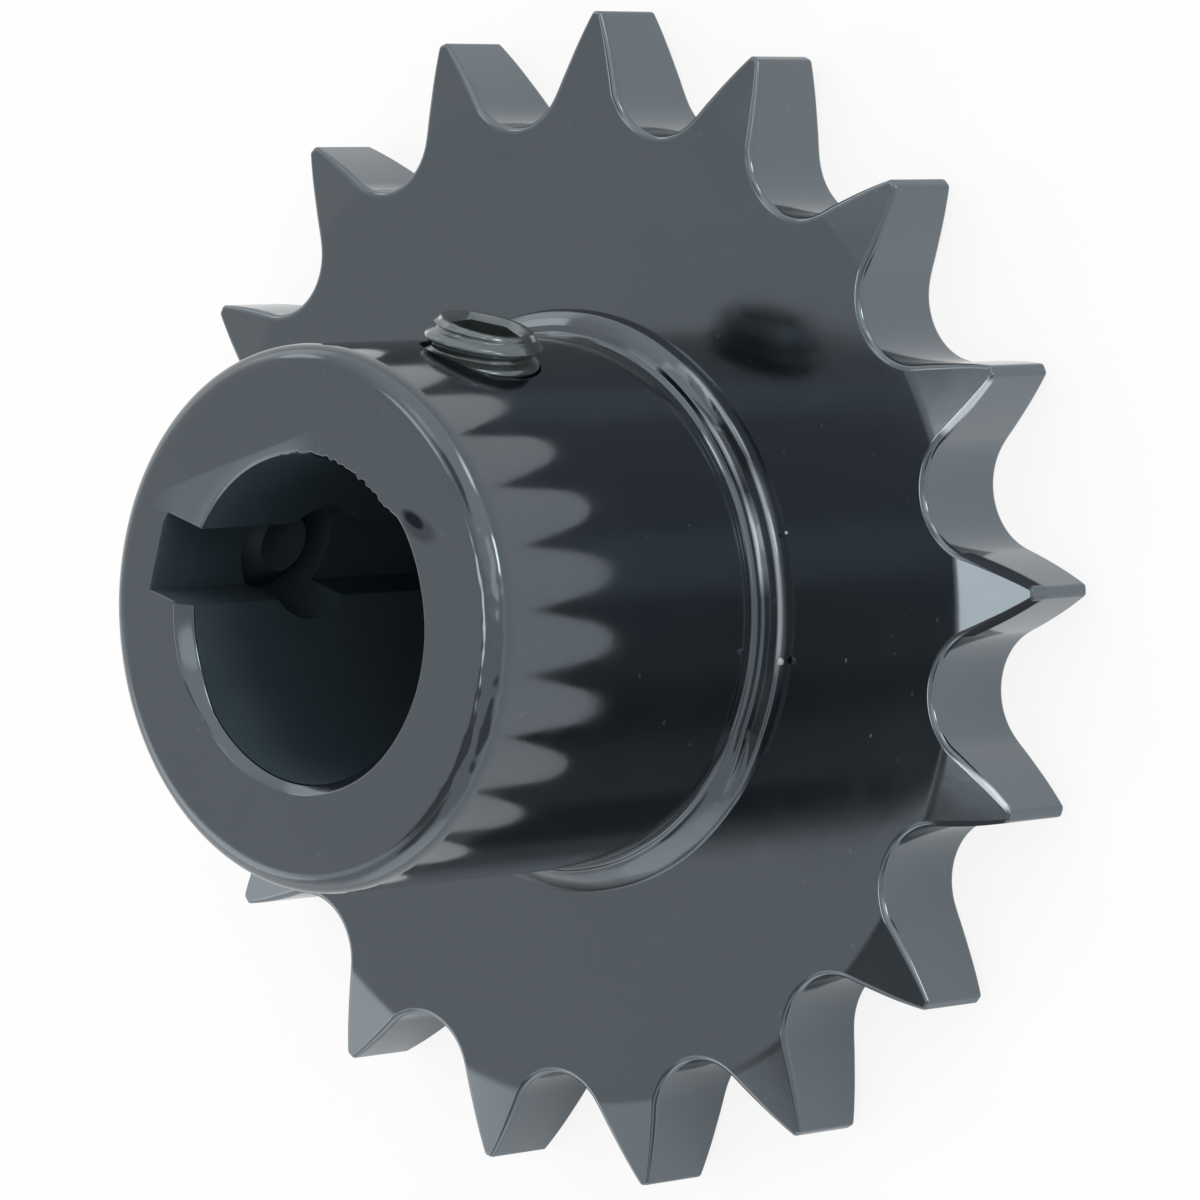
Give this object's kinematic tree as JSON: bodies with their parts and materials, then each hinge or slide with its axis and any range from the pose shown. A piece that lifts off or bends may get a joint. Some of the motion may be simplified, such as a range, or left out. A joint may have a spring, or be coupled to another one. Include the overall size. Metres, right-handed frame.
{
  "type": "chain sprocket",
  "caption": "Single-strand roller chain sprocket with a toothed plate welded to a keyed, bored hub that is held on its shaft by set screws.",
  "frame": {"origin": "on the bore axis, at the back face of the toothed plate", "axes": "+Z along the bore axis from the back face to the hub's face; +X along the set screw's axis; +Y towards the keyway"},
  "size_m": [0.0934, 0.0933, 0.0391],
  "materials": {
    "painted_plate": "gloss black enamel",
    "painted_hub": "gloss black enamel",
    "painted_weld": "gloss black enamel",
    "set_screw_steel": "black oxide, worn bright on the thread crests"
  },
  "bodies": {
    "root": {"toothed_plate": "painted_plate", "hub": "painted_hub", "weld_bead": "painted_weld", "set_screw": "set_screw_steel", "keyway_set_screw": "set_screw_steel"}
  },
  "joints": []
}
